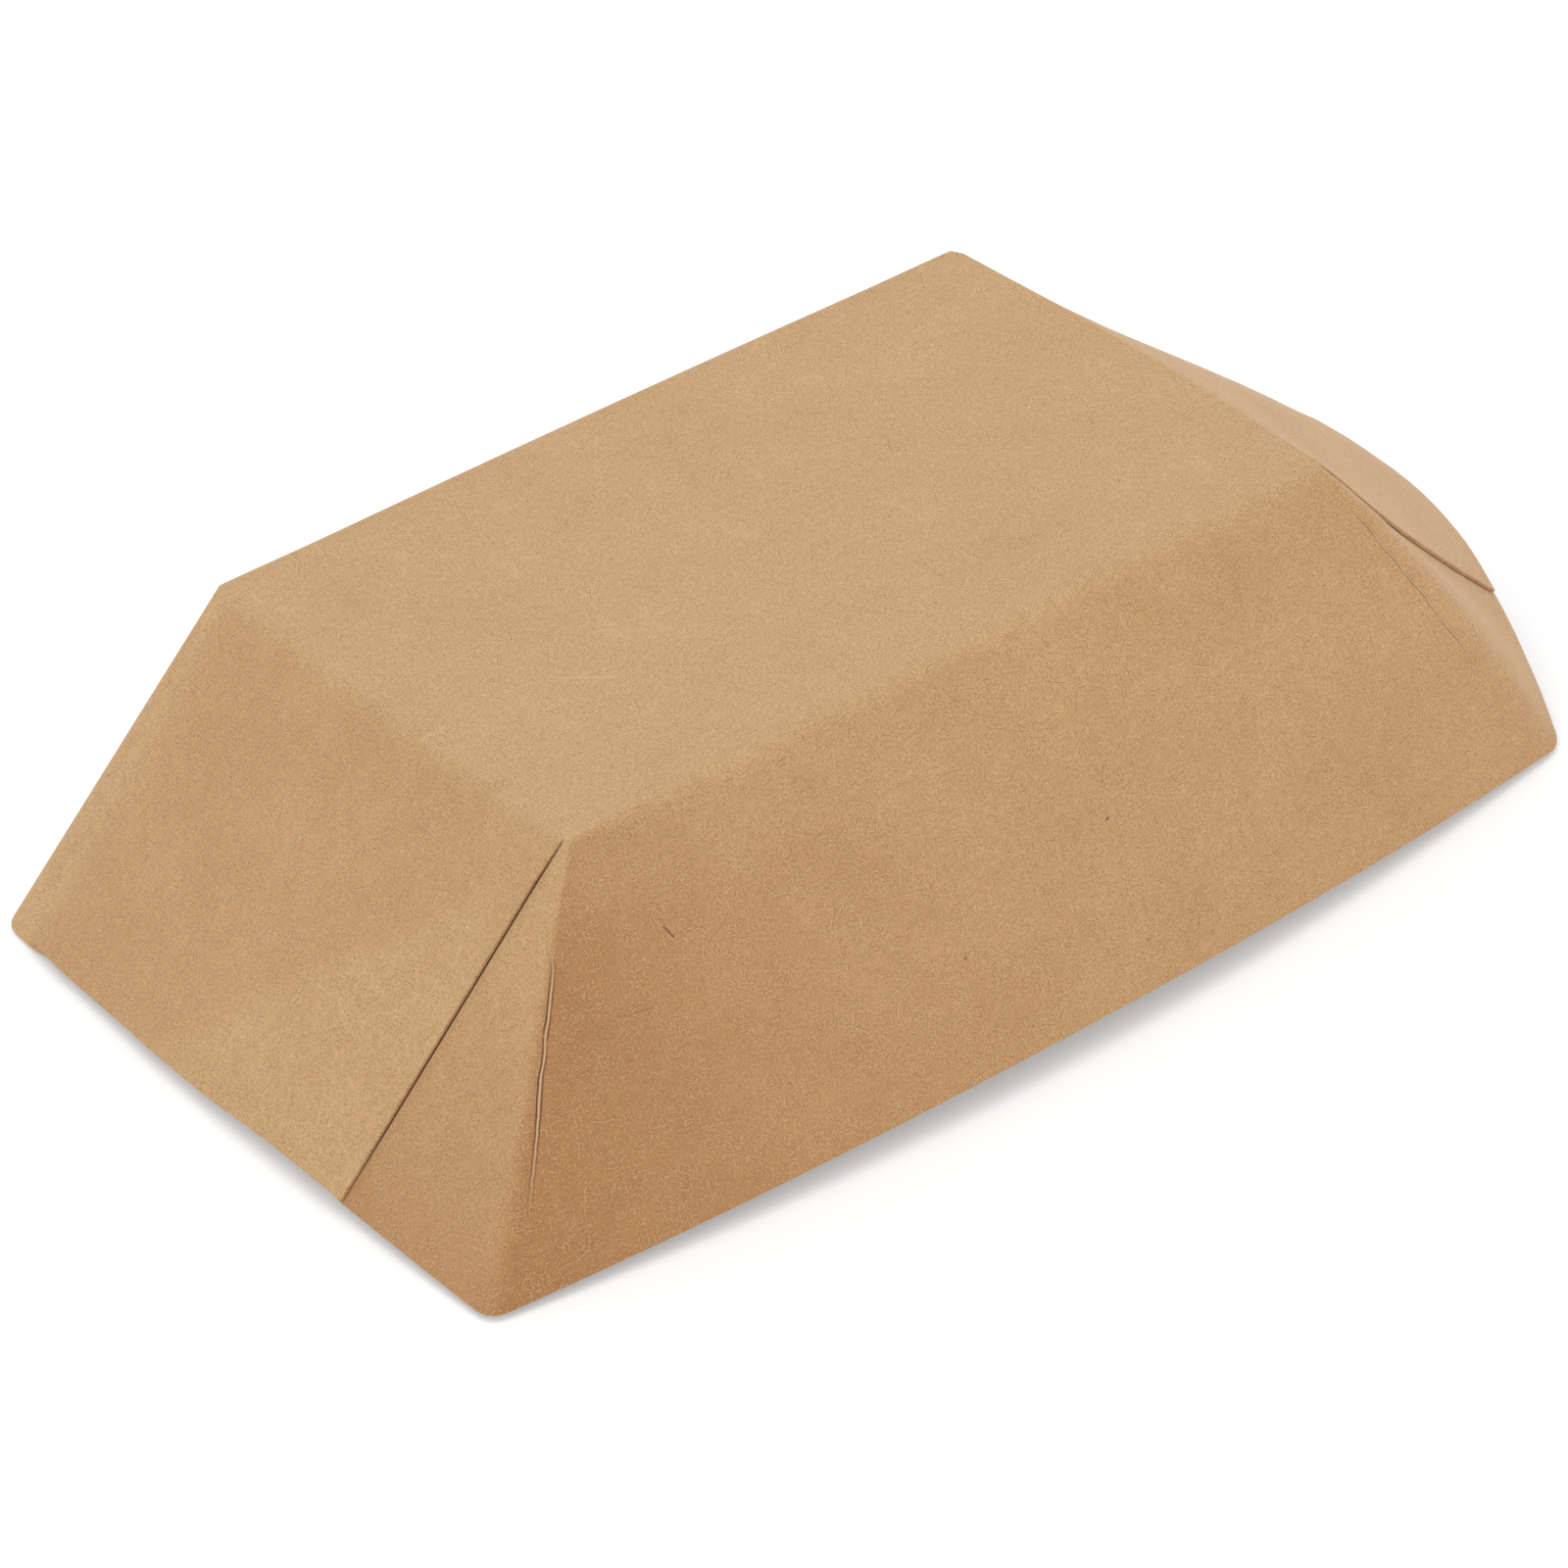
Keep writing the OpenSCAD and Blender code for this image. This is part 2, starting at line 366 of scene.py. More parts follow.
# the tab that goes on from a side wall round one corner, from the crease to its glued edge
def tabColumns(end, side, crease):
    inset = s["baseCorner"]
    corner = (end, side)
    swells = {("right", "near"): s["creaseSwell"], ("right", "far"): s["farSwell"]}
    cornerSwell = swells.get(corner, 0.0)
    startY = sign[side] * (rimOut[side] - cornerRadius(end, side))
    cutY = seamY(end, side)
    nudge = 0.1
    foldEdge = endFold(end, sign[side] * (halfWidth - inset))
    rimEdge = endRim(end, startY)
    rimWay = rimEdge - endRim(end, startY - sign[side] * nudge)
    sideWay = crease["rim"] - sideRim(side, crease["rim"].x - sign[end] * nudge)
    lines = []
    for i in range(1, s["cornerColumns"]):
        t = i / s["cornerColumns"]
        lines.append((filletPoint(crease["fold"], Vector((1, 0, 0)), foldEdge, Vector((0, 1, 0)), t),
                      filletPoint(crease["rim"], sideWay, rimEdge, rimWay, t), cornerSwell))
    for i in range(s["tabColumns"] + 1):
        t = i / s["tabColumns"]
        foldY = sign[side] * (halfWidth - inset - s["fanLength"] * t)
        y = lerp(startY, cutY, t)
        lines.append((endFold(end, foldY), endRim(end, y), endSwell(end, y)))
    turn = -sign[end] * sign[side]
    columns = []
    fold, rim, flatFold, flatRim = crease["fold"], crease["rim"], crease["flatFold"], crease["flatRim"]
    for nextFold, nextRim, swell in lines:
        nextFlat = thirdPoint(flatFold, flatRim, (nextRim - fold).length, (nextRim - rim).length, turn)
        step, slant = (nextFold - fold).length, (nextFold - nextRim).length
        flatFold = thirdPoint(flatFold, nextFlat, step, slant, turn)
        fold, rim, flatRim = nextFold, nextRim, nextFlat
        way = (len(columns) + 1) / s["cornerColumns"]
        tone, reach = None, 0.0
        if corner == ("left", "near"):
            tone = cornerPaintedShading(way)
            reach = -s["tabShort"] * ease(way - 1)
        elif corner == ("left", "far"):
            # a painted sheen on the far left tab, lighter further round the corner
            tone = lambda v, way=way: paintedShadingLook["farTab"] * ease(way)
            reach = s["farProud"] * ease(way)
        elif corner == ("right", "near"):
            reach = s["cornerDroop"] * hump(min(way / s["cornerDroopReach"], 1.0))
        columns.append(column(end, fold, rim, 0.0, swell, flatFold, flatRim, top=baseCorner(end, side),
                              tone=tone, reach=reach))
    seamFlat[corner] = (flatFold, flatRim, crease["flatRim"])
    across = (flatRim - columns[-2]["flatRim"]).normalized()
    lap = s["nearLap"] if side == "near" else s["farLap"]
    for i in range(1, s["lapColumns"] + 1):
        share = i / s["lapColumns"]

        def slide(v, share=share):
            part = share * tabEdge(end, side, v)
            t = part if side == "near" else 1 - part
            return (*endLine(end, t), endNormal(end, t), across * lap * share * v)

        distance = lap * share
        if side == "near":
            hidden = nearCut(end, distance) + s["tabHide"]
            reach = -lerp(s["tabShort"], hidden, ease(distance / s["tabStepRun"]))
        elif end == "left":
            tucked = ease((distance - s["farTuckStart"]) / s["farTuckRun"])
            reach = lerp(s["farProud"], -s["farTuck"], tucked)
        else:
            reach = 0.0
        columns.append(column(end, fold, rim, 0.0, swell, flatFold, flatRim, slide=slide, reach=reach))
    return columns


# a side wall with a tab at each end
def sideColumns(side):
    slant = math.hypot(s["height"], lean[side])
    n = s["sideColumns"]
    wall = []
    for i in range(n + 1):
        t = clustered(i, n)
        x = lerp(s["baseCorner"] - halfLength, halfLength - s["baseCorner"], t)
        rimX = lerp(cornerRadius("left", side) - rimOut["left"],
                    rimOut["right"] - cornerRadius("right", side), t)
        swell = s["creaseSwell" if side == "near" else "farSwell"] * t ** 3
        top = {0: baseCorner("left", side), n: baseCorner("right", side)}.get(i)
        flatY = sign[side] * halfWidth
        # painted shade on the near wall beside the left crease
        tone = wallPaintedShade(rimX + rimOut["left"]) if side == "near" else None
        wall.append(column(side, sideFold(side, x), sideRim(side, rimX), halfLength - abs(x), swell,
                           Vector((x, flatY)), Vector((rimX, flatY + sign[side] * slant)),
                           top=top, tone=tone))
    left = tabColumns("left", side, wall[0])[::-1]
    right = tabColumns("right", side, wall[-1])
    return left + wall + right, len(left)


# an end wall between its two cut edges, lying over the tabs
def endColumns(end):
    slant = math.hypot(s["height"], lean[end])
    n = s["endColumns"]
    nearY, farY = seamY(end, "near"), seamY(end, "far")
    cutY = halfWidth - s["baseCorner"] - s["fanLength"]
    corners = [Vector((sign[end] * halfLength, sign[k] * cutY, s["height"])) for k in ("near", "far")]
    columns = []
    for i in range(n + 1):
        t = clustered(i, n)
        fold, rim, swell = endLine(end, t)
        rimY = rim.y
        short = s["farShort"] * (1 - ease((farY - rimY) / s["farShortRun"]))
        short += nearCut(end, rimY - nearY)

        def lift(v, t=t, fold=fold, rim=rim):
            point = fold.lerp(rim, v)
            toCorner = min((point - corner).length for corner in corners)
            wide = lerp(2 * cutY, farY - nearY, v)
            pastNear = (t - tabEdge(end, "near", v)) * wide
            pastFar = (1 - tabEdge(end, "far", v) - t) * wide
            relax = ease(pastNear / s["lapBlend"]) * ease(pastFar / s["lapBlend"])
            relax *= ease(v / s["lapRelaxStart"])
            return (s["board"] + s["glueGap"]) * ease(toCorner / s["lapStart"]) - s["lapRelax"] * relax

        # painted light over the glued lap, and a painted sheen along the far cut edge
        def lapPaintedLight(v, t=t):
            wide = lerp(2 * cutY, farY - nearY, v) / paintedShadingLook["lapRun"]
            onLap = ease((tabEdge(end, "near", v) - t) * wide + 0.5) * ease(v / paintedShadingLook["lapStart"])
            return onLap + paintedShadingLook["farFlap"] * (1 - ease((1 - t) * wide))

        # painted sheen on the flared right end, stronger towards its far side
        def flarePaintedSheen(v, t=t):
            return lerp(paintedShadingLook["rightNear"], paintedShadingLook["rightFar"], t)

        top = {0: baseCorner(end, "near"), n: baseCorner(end, "far")}.get(i)
        columns.append(column(end, fold, rim, halfWidth - abs(fold.y), swell,
                              Vector((sign[end] * halfLength, fold.y)),
                              Vector((sign[end] * (halfLength + slant), rimY)),
                              lift=lift, top=top, reach=-short,
                              tone=lapPaintedLight if end == "left" else flarePaintedSheen))
    return columns


def placeStrip(bm, columns, flat, toned):
    rows = s["arcRows"] + s["wallRows"]
    made = bmesh.ops.create_grid(bm, x_segments=len(columns) - 1, y_segments=rows, size=1.0)
    for vert in made["verts"]:
        i = round((vert.co.x + 1) / 2 * (len(columns) - 1))
        j = round((vert.co.y + 1) / 2 * rows)
        vert.co, flat[vert] = pointOn(columns[i], j)
        share = max((j - s["arcRows"]) / s["wallRows"], 0.0)
        fadeIn = ease(j / s["arcRows"])  # the fold carries the painted shading over to the plain base
        vert[toned] = columns[i]["tone"](share) * fadeIn if columns[i]["tone"] else 0.0


def placeBase(bm, near, far, left, right, flat):
    nx, ny = len(near) - 1, len(left) - 1
    made = bmesh.ops.create_grid(bm, x_segments=nx, y_segments=ny, size=1.0)
    n, f = [pointOn(c, 0)[0] for c in near], [pointOn(c, 0)[0] for c in far]
    l, r = [pointOn(c, 0)[0] for c in left], [pointOn(c, 0)[0] for c in right]
    for vert in made["verts"]:
        i = round((vert.co.x + 1) / 2 * nx)
        j = round((vert.co.y + 1) / 2 * ny)
        u, v = clustered(i, nx), clustered(j, ny)
        edges = n[i].lerp(f[i], v) + l[j].lerp(r[j], u)
        corners = n[0].lerp(n[nx], u).lerp(f[0].lerp(f[nx], u), v)
        vert.co = edges - corners
        flat[vert] = Vector((vert.co.x, vert.co.y))


def makeTray():
    bm = bmesh.new()
    toned = bm.verts.layers.float.new("tone")
    flat = {}
    walls = {}
    for side in ("near", "far"):
        columns, first = sideColumns(side)
        setNormals(columns)
        placeStrip(bm, columns, flat, toned)
        walls[side] = columns[first:first + s["sideColumns"] + 1]
    for end in ("left", "right"):
        walls[end] = endColumns(end)
        setNormals(walls[end])
        placeStrip(bm, walls[end], flat, toned)
    placeBase(bm, walls["near"], walls["far"], walls["left"], walls["right"], flat)
    blank = bm.loops.layers.uv.new("blank")
    for face in bm.faces:
        for loop in face.loops:
            place = flat[loop.vert]
            loop[blank].uv = (0.5 + place.x / blankRoom, 0.5 + place.y / blankRoom)
    for vert in bm.verts:
        vert.co = (vert.co + Vector(s["stand"])) * mm
    bmesh.ops.remove_doubles(bm, verts=bm.verts, dist=1e-6)
    bmesh.ops.recalc_face_normals(bm, faces=bm.faces)
    if max(bm.faces, key=lambda f: f.calc_area() * f.calc_center_median().z).normal.z < 0:
        bmesh.ops.reverse_faces(bm, faces=bm.faces)
    mesh = bpy.data.meshes.new("traySheet")
    bm.to_mesh(mesh)
    bm.free()
    tray = bpy.data.objects.new("traySheet", mesh)
    bpy.context.scene.collection.objects.link(tray)
    thick = tray.modifiers.new("boardThickness", "SOLIDIFY")
    thick.thickness = s["board"] * mm
    thick.offset = -1.0
    thick.material_offset_rim = 1
    graph = bpy.context.evaluated_depsgraph_get()
    solid = bpy.data.meshes.new_from_object(tray.evaluated_get(graph))
    tray.modifiers.clear()
    tray.data = solid
    for polygon in solid.polygons:
        polygon.use_smooth = True
    solid.set_sharp_from_angle(angle=math.radians(s["smoothAngle"]))
    return tray


tray = makeTray()
print("tray folded:", len(tray.data.polygons), "faces")


# small helpers for node work
def addNode(tree, kind, inputs=None, **settings):
    node = tree.nodes.new(kind)
    for name, value in settings.items():
        setattr(node, name, value)
    for name, value in (inputs or {}).items():
        if isinstance(value, bpy.types.NodeSocket):
            tree.links.new(value, node.inputs[name])
        else:
            node.inputs[name].default_value = value
    return node


def calc(tree, operation, *values):
    node = addNode(tree, "ShaderNodeMath", dict(enumerate(values)), operation=operation)
    return node.outputs[0]


def fade(tree, value, low, high):  # 0 below low, 1 above high
    node = addNode(tree, "ShaderNodeMapRange", {"Value": value, "From Min": low, "From Max": high},
                   interpolation_type="SMOOTHSTEP")
    return node.outputs["Result"]


def mixColours(tree, factor, a, b):
    node = addNode(tree, "ShaderNodeMix", {0: factor, 6: a, 7: b}, data_type="RGBA")
    return node.outputs[2]


def newGroup(name, inputs, outputs):
    tree = bpy.data.node_groups.new(name, "ShaderNodeTree")
    kinds = {"vector": "NodeSocketVector", "value": "NodeSocketFloat", "colour": "NodeSocketColor"}
    for label, kind, value in inputs:
        socket = tree.interface.new_socket(label, in_out="INPUT", socket_type=kinds[kind])
        if value is not None:
            socket.default_value = value
    for label, kind in outputs:
        tree.interface.new_socket(label, in_out="OUTPUT", socket_type=kinds[kind])
    return tree, tree.nodes.new("NodeGroupInput").outputs, tree.nodes.new("NodeGroupOutput").inputs


# short bent fibres, one to a cell, each turned its own way, with a shadow along one side
def makeFibreGroup():
    tree, given, result = newGroup(
        "fibreMarks",
        [("Place", "vector", None), ("Cell", "value", 1.0), ("Length", "value", 1.2),
         ("Width", "value", 0.15), ("Bend", "value", 1.2), ("Share", "value", 0.7),
         ("Shift", "value", 0.0)],
        [("Mask", "value"), ("Shade", "value")])
    shift = addNode(tree, "ShaderNodeCombineXYZ",
                    {"X": given["Shift"], "Y": calc(tree, "MULTIPLY", given["Shift"], 0.73)})
    moved = addNode(tree, "ShaderNodeVectorMath", {0: given["Place"], 1: shift.outputs[0]},
                    operation="ADD")
    scaled = addNode(tree, "ShaderNodeVectorMath",
                     {0: moved.outputs[0], 3: calc(tree, "DIVIDE", 1.0, given["Cell"])},
                     operation="SCALE")
    cells = addNode(tree, "ShaderNodeTexVoronoi", {"Vector": scaled.outputs[0], "Scale": 1.0},
                    voronoi_dimensions="2D")
    local = addNode(tree, "ShaderNodeVectorMath", {0: scaled.outputs[0], 1: cells.outputs["Position"]},
                    operation="SUBTRACT")
    chance = addNode(tree, "ShaderNodeSeparateColor", {0: cells.outputs["Color"]})
    turned = addNode(tree, "ShaderNodeVectorRotate",
                     {"Vector": local.outputs[0],
                      "Angle": calc(tree, "MULTIPLY", chance.outputs[0], math.tau)},
                     rotation_type="Z_AXIS")
    split = addNode(tree, "ShaderNodeSeparateXYZ", {0: turned.outputs[0]})
    along, across = split.outputs[0], split.outputs[1]
    curve = calc(tree, "MULTIPLY", calc(tree, "SUBTRACT", chance.outputs[1], 0.5), given["Bend"])
    bent = calc(tree, "SUBTRACT", across, calc(tree, "MULTIPLY", curve,
                                               calc(tree, "MULTIPLY", along, along)))
    half = calc(tree, "DIVIDE", calc(tree, "MULTIPLY", given["Width"], 0.5), given["Cell"])
    reach = calc(tree, "DIVIDE", calc(tree, "MULTIPLY", given["Length"], 0.5), given["Cell"])
    ends = calc(tree, "SUBTRACT", 1.0, fade(tree, calc(tree, "ABSOLUTE", along),
                                            calc(tree, "MULTIPLY", reach, 0.6), reach))
    chosen = calc(tree, "MULTIPLY", calc(tree, "LESS_THAN", chance.outputs[2], given["Share"]), ends)
    core = calc(tree, "SUBTRACT", 1.0, fade(tree, calc(tree, "ABSOLUTE", bent),
                                            calc(tree, "MULTIPLY", half, 0.5), half))
    beside = calc(tree, "ABSOLUTE", calc(tree, "ADD", bent, calc(tree, "MULTIPLY", half, 2.0)))
    shade = calc(tree, "SUBTRACT", 1.0, fade(tree, beside, calc(tree, "MULTIPLY", half, 0.5), half))
    tree.links.new(calc(tree, "MULTIPLY", core, chosen), result["Mask"])
    tree.links.new(calc(tree, "MULTIPLY", shade, chosen), result["Shade"])
    return tree


# a fine line on the flat blank: masks for a groove, a lip beside it and a fainter groove beyond the lip,
# which give relief and, in the colour, painted shade in the grooves and a painted highlight on the lip
def makeScoreGroup():
    tree, given, result = newGroup(
        "scoreLine",
        [("Place", "vector", None), ("Drift", "value", 0.0), ("Cracks", "value", 1.0),
         ("Start", "vector", None), ("End", "vector", None), ("Width", "value", 0.1),
         ("Gap", "value", 0.26), ("From", "value", 0.1), ("To", "value", 0.8),
         ("Fade", "value", 0.15), ("Second", "value", 0.6)],
        [("Groove", "value"), ("Lip", "value")])
    way = addNode(tree, "ShaderNodeVectorMath", {0: given["End"], 1: given["Start"]},
                  operation="SUBTRACT")
    unit = addNode(tree, "ShaderNodeVectorMath", {0: way.outputs[0]}, operation="NORMALIZE")
    length = addNode(tree, "ShaderNodeVectorMath", {0: way.outputs[0]}, operation="LENGTH")
    here = addNode(tree, "ShaderNodeVectorMath", {0: given["Place"], 1: given["Start"]},
                   operation="SUBTRACT")
    along = addNode(tree, "ShaderNodeVectorMath", {0: here.outputs[0], 1: unit.outputs[0]},
                    operation="DOT_PRODUCT")
    share = calc(tree, "DIVIDE", along.outputs["Value"], length.outputs["Value"])
    side = addNode(tree, "ShaderNodeVectorMath", {0: unit.outputs[0], 1: here.outputs[0]},
                   operation="CROSS_PRODUCT")
    off = calc(tree, "ADD", addNode(tree, "ShaderNodeSeparateXYZ", {0: side.outputs[0]}).outputs[2],
               given["Drift"])
    live = calc(tree, "MULTIPLY", fade(tree, share, given["From"],
                                       calc(tree, "ADD", given["From"], given["Fade"])),
                calc(tree, "SUBTRACT", 1.0, fade(tree, share, calc(tree, "SUBTRACT", given["To"], 0.3),
                                                 given["To"])))

    def stripe(place):
        beside = calc(tree, "ABSOLUTE", calc(tree, "SUBTRACT", off, place))
        return calc(tree, "SUBTRACT", 1.0, fade(tree, beside,
                                                calc(tree, "MULTIPLY", given["Width"], 0.4),
                                                given["Width"]))

    second = calc(tree, "MULTIPLY", stripe(calc(tree, "MULTIPLY", given["Gap"], 2.0)), given["Second"])
    grooves = calc(tree, "MAXIMUM", stripe(0.0), second)
    worn = calc(tree, "MULTIPLY", given["Cracks"], live)
    tree.links.new(calc(tree, "MULTIPLY", grooves, worn), result["Groove"])
    tree.links.new(calc(tree, "MULTIPLY", stripe(given["Gap"]), live), result["Lip"])
    return tree


# fibres in mm: the room of each, its length, width and bend, the share of rooms in use, the pattern's shift
fibreLayers = {
    "palest": (0.58, 0.5, 0.16, 0.5, 0.55, 0.0),
    "middle": (1.3, 1.1, 0.15, 0.8, 0.4, 13.1),
    "dark": (0.6, 0.45, 0.18, 0.5, 0.55, 57.3),
    "long": (6.5, 3.0, 0.13, 1.5, 0.25, 91.3),
}
# noise in mm: its size, its detail and the pattern's shift
paperNoise = {
    "clumps": (4.0, 1.0, 23.0),
    "fine": (0.3, 1.0, 17.0),
    "coarse": (1.0, 1.0, 37.0),
    "cloud": (15.0, 3.0, 3.0),
    "mottle": (3.0, 2.0, 41.0),
}
# the colour's factors, from dark to pale: a dark paper loses more blue than red
paperSpread = {
    "cloud": ((0.6, 0.4, 0.1), (1.4, 1.6, 1.9)),
    "grain": ((0.0, -0.3, -0.7), (2.0, 2.3, 2.7)),
    # the painted shading's factors: painted shade darker and warmer, painted light paler and bluer like a
    # white sheen
    "tone": ((0.6, 0.3, -0.05), (1.4, 1.7, 2.05)),
}
paperLook = {
    "clumpRange": (-0.22, 0.16),
    "clumpStrength": 0.5,
    "coarseShare": 0.45,
    "mottleShare": 0.7,
    "paintedShadingStep": 0.1,
    "foldRange": (-1.0, 2.5),  # mm past the fold
    "longStrength": 1.2,
    "fibreHeight": 0.5,
    "roughness": 0.8,
    "roughnessSwing": 0.25,
}


# uncoated kraft paper: cloudy tone, fine grain, pale and dark fibres
def makePaperGroup(fibres):
    tree, given, result = newGroup(
        "kraftPaper",
        [("Place", "vector", None), ("Tone", "value", 0.0), ("Board", "colour", (0.5, 0.3, 0.15, 1)),
         ("Wall Painted Light Tint", "colour", (1, 1, 1, 1)),
         ("Pale Fibre", "colour", (0.7, 0.5, 0.3, 1)), ("Dark Fibre", "colour", (0.2, 0.1, 0.05, 1)),
         ("Pale Strength", "value", 0.3), ("Dark Strength", "value", 0.3), ("Cloud", "value", 0.08),
         ("Grain", "value", 0.1)],
        [("Color", "colour"), ("Height", "value"), ("Roughness", "value")])
    place = given["Place"]

    def marks(cell, length, width, bend, share, shift):
        node = addNode(tree, "ShaderNodeGroup", node_tree=fibres)
        tree.links.new(place, node.inputs["Place"])
        for label, value in (("Cell", cell), ("Length", length), ("Width", width), ("Bend", bend),
                             ("Share", share), ("Shift", shift)):
            node.inputs[label].default_value = value
        return node.outputs["Mask"], node.outputs["Shade"]

    def noise(size, detail, shift):
        moved = addNode(tree, "ShaderNodeVectorMath", {0: place, 1: (shift, shift * 0.6, 0)},
                        operation="ADD")
        node = addNode(tree, "ShaderNodeTexNoise",
                       {"Vector": moved.outputs[0], "Scale": 1 / size, "Detail": detail,
                        "Roughness": 0.6}, noise_dimensions="2D")
        return calc(tree, "SUBTRACT", node.outputs[0], 0.5)

    def times(colour, factors):
        return addNode(tree, "ShaderNodeVectorMath", {0: colour, 1: factors},
                       operation="MULTIPLY").outputs[0]

    def spread(amount, low, high):  # colour factors, low to high as amount runs from -0.5 to 0.5
        node = addNode(tree, "ShaderNodeMix", {0: calc(tree, "ADD", amount, 0.5), 4: low, 5: high},
                       data_type="VECTOR")
        return node.outputs[1]

    paleA, shadeA = marks(*fibreLayers["palest"])
    paleB, shadeB = marks(*fibreLayers["middle"])
    darkA, lightA = marks(*fibreLayers["dark"])
    longPale, longShade = marks(*fibreLayers["long"])
    clumps = fade(tree, noise(*paperNoise["clumps"]), *paperLook["clumpRange"])
    crowd = calc(tree, "ADD", calc(tree, "MULTIPLY", clumps, paperLook["clumpStrength"]),
                 1 - paperLook["clumpStrength"])
    # pale fibres with the painted light beside the dark fibres, and dark fibres with the painted shadows
    # beside the pale fibres
    paleFibresAndLitSides = calc(tree, "MAXIMUM", paleA, calc(tree, "MAXIMUM", paleB, lightA))
    darkFibresAndShadows = calc(tree, "MAXIMUM", darkA, calc(tree, "MAXIMUM", shadeA, shadeB))
    pale = calc(tree, "MULTIPLY", paleFibresAndLitSides, crowd)
    dark = calc(tree, "MULTIPLY", darkFibresAndShadows, crowd)
    fine = noise(*paperNoise["fine"])
    coarse = calc(tree, "MULTIPLY", noise(*paperNoise["coarse"]), paperLook["coarseShare"])
    fine = calc(tree, "ADD", fine, coarse)
    cloud = noise(*paperNoise["cloud"])
    mottle = calc(tree, "MULTIPLY", noise(*paperNoise["mottle"]), paperLook["mottleShare"])
    cloud = calc(tree, "MULTIPLY", calc(tree, "ADD", cloud, mottle), given["Cloud"])
    grain = calc(tree, "MULTIPLY", fine, given["Grain"])
    toned = times(given["Board"], spread(cloud, *paperSpread["cloud"]))
    toned = times(toned, spread(grain, *paperSpread["grain"]))
    # painted light and shade, read from the mesh's painted shading
    amount = calc(tree, "MULTIPLY", given["Tone"], paperLook["paintedShadingStep"])
    toned = times(toned, spread(amount, *paperSpread["tone"]))
    split = addNode(tree, "ShaderNodeSeparateXYZ", {0: place})
    pastEnd = calc(tree, "SUBTRACT", calc(tree, "ABSOLUTE", split.outputs[0]), halfLength)
    pastSide = calc(tree, "SUBTRACT", calc(tree, "ABSOLUTE", split.outputs[1]), halfWidth)
    folded = fade(tree, calc(tree, "MAXIMUM", pastEnd, pastSide), *paperLook["foldRange"])
    # the walls take the painted wall tint, past the fold
    toned = mixColours(tree, folded, toned, times(toned, given["Wall Painted Light Tint"]))
    # the dark fibres and painted fibre shadows take the dark fibre colour, the pale fibres and painted lit
    # sides the pale one
    for marked, kind in ((dark, "Dark"), (pale, "Pale")):
        amount = calc(tree, "MULTIPLY", marked, given[kind + " Strength"])
        toned = mixColours(tree, amount, toned, given[kind + " Fibre"])
    # the long fibres: a painted shadow beside each, in the dark fibre colour, then the pale fibre
    for marked, kind in ((longShade, "Dark"), (longPale, "Pale")):
        strength = calc(tree, "MULTIPLY", given[kind + " Strength"], paperLook["longStrength"])
        amount = calc(tree, "MULTIPLY", marked, strength)
        toned = mixColours(tree, amount, toned, given[kind + " Fibre"])
    tree.links.new(toned, result["Color"])
    raised = calc(tree, "MULTIPLY", paleA, paperLook["fibreHeight"])
    height = calc(tree, "ADD", raised, calc(tree, "ADD", fine, longPale))
    tree.links.new(height, result["Height"])
    swing = calc(tree, "MULTIPLY", fine, paperLook["roughnessSwing"])
    tree.links.new(calc(tree, "ADD", paperLook["roughness"], swing), result["Roughness"])
    return tree


kraftFinish = {
    "board": (0.53, 0.321, 0.138, 1),
    "wallTint": (1.02, 0.955, 0.9, 1),  # painted light: the walls are made a little warmer than the base, standing in for the paler sheen the base catches
    "paleFibre": (0.67, 0.5, 0.29, 1),
    "darkFibre": (0.32, 0.12, 0.0, 1),
    "paleStrength": 0.4,
    "darkStrength": 0.56,
    "cloud": 0.2,
    "grain": 0.27,
    "sheen": 0.12,
    "sheenRoughness": 0.45,
    "specular": 0.95,
    "bump": 0.3,
    "bumpDepth": 0.03,  # mm
    # painted shade in the grooves of creases and seams, and a painted highlight on the lips beside them
    "grooveColour": (0.09, 0.025, 0.0, 1),
    "lipColour": (0.7, 0.5, 0.3, 1),
    "drift": (6.0, 0.2, 0.8),  # size of the noise in mm, and the levels between which it counts
    "driftWidth": 0.35,  # mm
    "cracks": (2.0, 0.2, 0.45),
    "grooveDepth": 3.0,
}
# fine marks on the flat blank, in mm: how dark and how pale each is, and how much it stands in relief
flatMarks = {
    # the scored creases: relief, with painted shade in the groove and a painted highlight on the lip
    "leftCrease": {"start": (-54.9, -32.6), "end": (-74.6, -74.5), "gap": 0.26, "from": 0.28, "to": 1.0,
                   "dark": 1.0, "pale": 0.75, "second": 0.85, "width": 0.12, "relief": 1.0},
    "rightCrease": {"start": (56.0, -39.2), "end": (70.0, -69.3), "gap": 0.2, "from": 0.0, "to": 1.0,
                    "dark": 0.6, "pale": 0.2, "second": 0.3, "relief": 0.5},
    "darkFibre": {"start": (-47.19, -48.46), "end": (-46.56, -49.75), "dark": 0.85, "width": 0.15},
    "darkDashes": {"start": (-55.35, -55.46), "end": (-52.08, -55.95), "dark": 0.4, "width": 0.12,
                   "relief": 0.2},
    "darkSpeck": {"start": (10.3, -60.3), "end": (10.7, -60.1), "dark": 0.8, "width": 0.2},
    "darkDot": {"start": (-13.4, -67.3), "end": (-13.1, -67.1), "dark": 0.7, "width": 0.2},
    "paleStreak": {"start": (-36.4, -9.1), "end": (-33.0, -12.0), "gap": 0.0, "pale": 0.5,
                   "width": 0.16},
}
